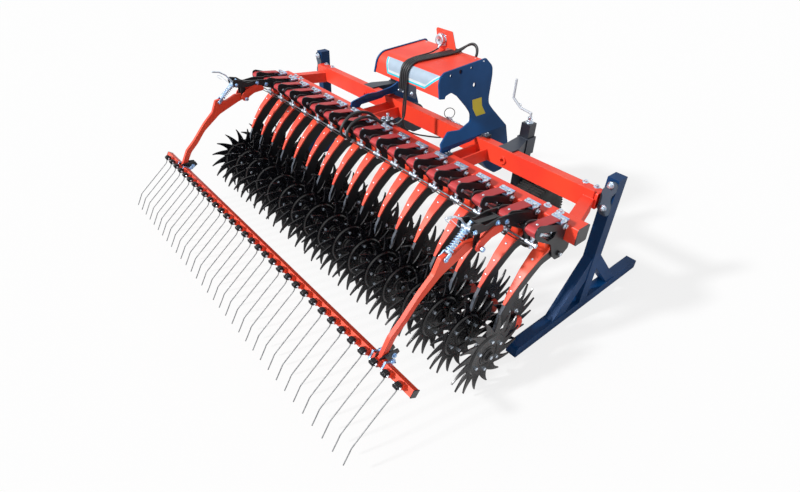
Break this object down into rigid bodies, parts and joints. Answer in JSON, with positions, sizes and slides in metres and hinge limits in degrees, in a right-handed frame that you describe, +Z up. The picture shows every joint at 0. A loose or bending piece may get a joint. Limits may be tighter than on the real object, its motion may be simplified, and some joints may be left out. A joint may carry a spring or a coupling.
{
  "type": "rotary hoe",
  "caption": "Mounted rotary hoe: tandem star wheels on sprung arms across a two-beam frame with headstock, gauge wheels, parking stands and rear tine harrow",
  "frame": {"origin": "middle of the bounding box on the floor under the parking stands", "axes": "+X to the machine's right, +Y forward to the tractor, +Z up"},
  "size_m": [2.977, 2.5048, 1.3989],
  "materials": {
    "dark_paint": "semi-gloss blue-black paint",
    "hose_rubber": "black hydraulic hose",
    "red_paint": "semi-gloss red-orange paint",
    "spring_steel": "grey spring steel",
    "star_steel": "black-coated steel",
    "tyre": "black tyre rubber",
    "zinc_steel": "zinc-plated steel"
  },
  "bodies": {
    "frame": {"front_beam": "red_paint", "rear_beam": "red_paint", "cross_members": "red_paint", "headstock_plates": "dark_paint", "headstock_hood": "red_paint", "link_brackets": "dark_paint", "parking_stands": "dark_paint", "arm_brackets": "dark_paint", "arm_covers": "red_paint", "clamp_plates": "zinc_steel", "arms": "dark_paint", "arm_backs": "red_paint", "cylinders": "zinc_steel", "hydraulic_lines": "hose_rubber", "harrow_brackets": "dark_paint", "gauge_brackets": "dark_paint"},
    "star_front_01": {"star_front_01": "star_steel"},
    "star_rear_01": {"star_rear_01": "star_steel"},
    "star_front_02": {"star_front_02": "star_steel"},
    "star_rear_02": {"star_rear_02": "star_steel"},
    "star_front_03": {"star_front_03": "star_steel"},
    "star_rear_03": {"star_rear_03": "star_steel"},
    "star_front_04": {"star_front_04": "star_steel"},
    "star_rear_04": {"star_rear_04": "star_steel"},
    "star_front_05": {"star_front_05": "star_steel"},
    "star_rear_05": {"star_rear_05": "star_steel"},
    "star_front_06": {"star_front_06": "star_steel"},
    "star_rear_06": {"star_rear_06": "star_steel"},
    "star_front_07": {"star_front_07": "star_steel"},
    "star_rear_07": {"star_rear_07": "star_steel"},
    "star_front_08": {"star_front_08": "star_steel"},
    "star_rear_08": {"star_rear_08": "star_steel"},
    "star_front_09": {"star_front_09": "star_steel"},
    "star_rear_09": {"star_rear_09": "star_steel"},
    "star_front_10": {"star_front_10": "star_steel"},
    "star_rear_10": {"star_rear_10": "star_steel"},
    "star_front_11": {"star_front_11": "star_steel"},
    "star_rear_11": {"star_rear_11": "star_steel"},
    "star_front_12": {"star_front_12": "star_steel"},
    "star_rear_12": {"star_rear_12": "star_steel"},
    "star_front_13": {"star_front_13": "star_steel"},
    "star_rear_13": {"star_rear_13": "star_steel"},
    "star_front_14": {"star_front_14": "star_steel"},
    "star_rear_14": {"star_rear_14": "star_steel"},
    "star_front_15": {"star_front_15": "star_steel"},
    "star_rear_15": {"star_rear_15": "star_steel"},
    "star_front_16": {"star_front_16": "star_steel"},
    "star_rear_16": {"star_rear_16": "star_steel"},
    "star_front_17": {"star_front_17": "star_steel"},
    "star_rear_17": {"star_rear_17": "star_steel"},
    "gauge_leg_right": {"gauge_leg_right": "dark_paint"},
    "gauge_wheel_right": {"gauge_wheel_right": "tyre"},
    "strut_sleeve_right": {"strut_sleeve_right": "zinc_steel"},
    "strut_rod_right": {"strut_rod_right": "zinc_steel"},
    "gauge_leg_left": {"gauge_leg_left": "dark_paint"},
    "gauge_wheel_left": {"gauge_wheel_left": "tyre"},
    "strut_sleeve_left": {"strut_sleeve_left": "zinc_steel"},
    "strut_rod_left": {"strut_rod_left": "zinc_steel"},
    "harrow": {"harrow_frame": "red_paint", "harrow_tines": "spring_steel"}
  },
  "joints": [
    {"name": "star_front_01_spin", "type": "hinge", "parent": "frame", "child": "star_front_01", "pos_m": [-1.395, -0.13808, 0.255], "axis": [1, 0, 0], "continuous": true},
    {"name": "star_rear_01_spin", "type": "hinge", "parent": "frame", "child": "star_rear_01", "pos_m": [-1.309, -0.38608, 0.255], "axis": [1, 0, 0], "continuous": true},
    {"name": "star_front_02_spin", "type": "hinge", "parent": "frame", "child": "star_front_02", "pos_m": [-1.223, -0.13808, 0.255], "axis": [1, 0, 0], "continuous": true},
    {"name": "star_rear_02_spin", "type": "hinge", "parent": "frame", "child": "star_rear_02", "pos_m": [-1.137, -0.38608, 0.255], "axis": [1, 0, 0], "continuous": true},
    {"name": "star_front_03_spin", "type": "hinge", "parent": "frame", "child": "star_front_03", "pos_m": [-1.051, -0.13808, 0.255], "axis": [1, 0, 0], "continuous": true},
    {"name": "star_rear_03_spin", "type": "hinge", "parent": "frame", "child": "star_rear_03", "pos_m": [-0.965, -0.38608, 0.255], "axis": [1, 0, 0], "continuous": true},
    {"name": "star_front_04_spin", "type": "hinge", "parent": "frame", "child": "star_front_04", "pos_m": [-0.879, -0.13808, 0.255], "axis": [1, 0, 0], "continuous": true},
    {"name": "star_rear_04_spin", "type": "hinge", "parent": "frame", "child": "star_rear_04", "pos_m": [-0.793, -0.38608, 0.255], "axis": [1, 0, 0], "continuous": true},
    {"name": "star_front_05_spin", "type": "hinge", "parent": "frame", "child": "star_front_05", "pos_m": [-0.707, -0.13808, 0.255], "axis": [1, 0, 0], "continuous": true},
    {"name": "star_rear_05_spin", "type": "hinge", "parent": "frame", "child": "star_rear_05", "pos_m": [-0.621, -0.38608, 0.255], "axis": [1, 0, 0], "continuous": true},
    {"name": "star_front_06_spin", "type": "hinge", "parent": "frame", "child": "star_front_06", "pos_m": [-0.535, -0.13808, 0.255], "axis": [1, 0, 0], "continuous": true},
    {"name": "star_rear_06_spin", "type": "hinge", "parent": "frame", "child": "star_rear_06", "pos_m": [-0.449, -0.38608, 0.255], "axis": [1, 0, 0], "continuous": true},
    {"name": "star_front_07_spin", "type": "hinge", "parent": "frame", "child": "star_front_07", "pos_m": [-0.363, -0.13808, 0.255], "axis": [1, 0, 0], "continuous": true},
    {"name": "star_rear_07_spin", "type": "hinge", "parent": "frame", "child": "star_rear_07", "pos_m": [-0.277, -0.38608, 0.255], "axis": [1, 0, 0], "continuous": true},
    {"name": "star_front_08_spin", "type": "hinge", "parent": "frame", "child": "star_front_08", "pos_m": [-0.191, -0.13808, 0.255], "axis": [1, 0, 0], "continuous": true},
    {"name": "star_rear_08_spin", "type": "hinge", "parent": "frame", "child": "star_rear_08", "pos_m": [-0.105, -0.38608, 0.255], "axis": [1, 0, 0], "continuous": true},
    {"name": "star_front_09_spin", "type": "hinge", "parent": "frame", "child": "star_front_09", "pos_m": [-0.019, -0.13808, 0.255], "axis": [1, 0, 0], "continuous": true},
    {"name": "star_rear_09_spin", "type": "hinge", "parent": "frame", "child": "star_rear_09", "pos_m": [0.067, -0.38608, 0.255], "axis": [1, 0, 0], "continuous": true},
    {"name": "star_front_10_spin", "type": "hinge", "parent": "frame", "child": "star_front_10", "pos_m": [0.153, -0.13808, 0.255], "axis": [1, 0, 0], "continuous": true},
    {"name": "star_rear_10_spin", "type": "hinge", "parent": "frame", "child": "star_rear_10", "pos_m": [0.239, -0.38608, 0.255], "axis": [1, 0, 0], "continuous": true},
    {"name": "star_front_11_spin", "type": "hinge", "parent": "frame", "child": "star_front_11", "pos_m": [0.325, -0.13808, 0.255], "axis": [1, 0, 0], "continuous": true},
    {"name": "star_rear_11_spin", "type": "hinge", "parent": "frame", "child": "star_rear_11", "pos_m": [0.411, -0.38608, 0.255], "axis": [1, 0, 0], "continuous": true},
    {"name": "star_front_12_spin", "type": "hinge", "parent": "frame", "child": "star_front_12", "pos_m": [0.497, -0.13808, 0.255], "axis": [1, 0, 0], "continuous": true},
    {"name": "star_rear_12_spin", "type": "hinge", "parent": "frame", "child": "star_rear_12", "pos_m": [0.583, -0.38608, 0.255], "axis": [1, 0, 0], "continuous": true},
    {"name": "star_front_13_spin", "type": "hinge", "parent": "frame", "child": "star_front_13", "pos_m": [0.669, -0.13808, 0.255], "axis": [1, 0, 0], "continuous": true},
    {"name": "star_rear_13_spin", "type": "hinge", "parent": "frame", "child": "star_rear_13", "pos_m": [0.755, -0.38608, 0.255], "axis": [1, 0, 0], "continuous": true},
    {"name": "star_front_14_spin", "type": "hinge", "parent": "frame", "child": "star_front_14", "pos_m": [0.841, -0.13808, 0.255], "axis": [1, 0, 0], "continuous": true},
    {"name": "star_rear_14_spin", "type": "hinge", "parent": "frame", "child": "star_rear_14", "pos_m": [0.927, -0.38608, 0.255], "axis": [1, 0, 0], "continuous": true},
    {"name": "star_front_15_spin", "type": "hinge", "parent": "frame", "child": "star_front_15", "pos_m": [1.013, -0.13808, 0.255], "axis": [1, 0, 0], "continuous": true},
    {"name": "star_rear_15_spin", "type": "hinge", "parent": "frame", "child": "star_rear_15", "pos_m": [1.099, -0.38608, 0.255], "axis": [1, 0, 0], "continuous": true},
    {"name": "star_front_16_spin", "type": "hinge", "parent": "frame", "child": "star_front_16", "pos_m": [1.185, -0.13808, 0.255], "axis": [1, 0, 0], "continuous": true},
    {"name": "star_rear_16_spin", "type": "hinge", "parent": "frame", "child": "star_rear_16", "pos_m": [1.271, -0.38608, 0.255], "axis": [1, 0, 0], "continuous": true},
    {"name": "star_front_17_spin", "type": "hinge", "parent": "frame", "child": "star_front_17", "pos_m": [1.357, -0.13808, 0.255], "axis": [1, 0, 0], "continuous": true},
    {"name": "star_rear_17_spin", "type": "hinge", "parent": "frame", "child": "star_rear_17", "pos_m": [1.443, -0.38608, 0.255], "axis": [1, 0, 0], "continuous": true},
    {"name": "gauge_leg_right_height", "type": "slide", "parent": "frame", "child": "gauge_leg_right", "axis": [0, 0, 1], "range_m": [-0.1, 0.1]},
    {"name": "gauge_wheel_right_spin", "type": "hinge", "parent": "gauge_leg_right", "child": "gauge_wheel_right", "pos_m": [0.7165, 0.75392, 0.35], "axis": [1, 0, 0], "continuous": true},
    {"name": "gauge_leg_left_height", "type": "slide", "parent": "frame", "child": "gauge_leg_left", "axis": [0, 0, 1], "range_m": [-0.1, 0.1]},
    {"name": "gauge_wheel_left_spin", "type": "hinge", "parent": "gauge_leg_left", "child": "gauge_wheel_left", "pos_m": [-0.7035, 0.75392, 0.35], "axis": [1, 0, 0], "continuous": true},
    {"name": "harrow_lift", "type": "hinge", "parent": "frame", "child": "harrow", "pos_m": [0.0065, -0.33208, 0.8], "axis": [1, 0, 0], "range_deg": [-12, 5]},
    {"name": "strut_right_swing", "type": "hinge", "parent": "frame", "child": "strut_sleeve_right", "pos_m": [1.2105, -0.38908, 0.915], "axis": [1, 0, 0], "range_deg": [-11.15, 4.94]},
    {"name": "strut_right_slide", "type": "slide", "parent": "strut_sleeve_right", "child": "strut_rod_right", "axis": [0, -0.7809, -0.6247], "range_m": [-0.0275, 0.0121]},
    {"name": "strut_left_swing", "type": "hinge", "parent": "frame", "child": "strut_sleeve_left", "pos_m": [-1.1975, -0.38908, 0.915], "axis": [1, 0, 0], "range_deg": [-11.15, 4.94]},
    {"name": "strut_left_slide", "type": "slide", "parent": "strut_sleeve_left", "child": "strut_rod_left", "axis": [0, -0.7809, -0.6247], "range_m": [-0.0275, 0.0121]}
  ],
  "couplings": [
    {"joint": "strut_right_swing", "follows": "harrow_lift", "ratio": 0.88782},
    {"joint": "strut_right_slide", "follows": "harrow_lift", "m_per_rad": 0.12671},
    {"joint": "strut_left_swing", "follows": "harrow_lift", "ratio": 0.88782},
    {"joint": "strut_left_slide", "follows": "harrow_lift", "m_per_rad": 0.12671}
  ]
}
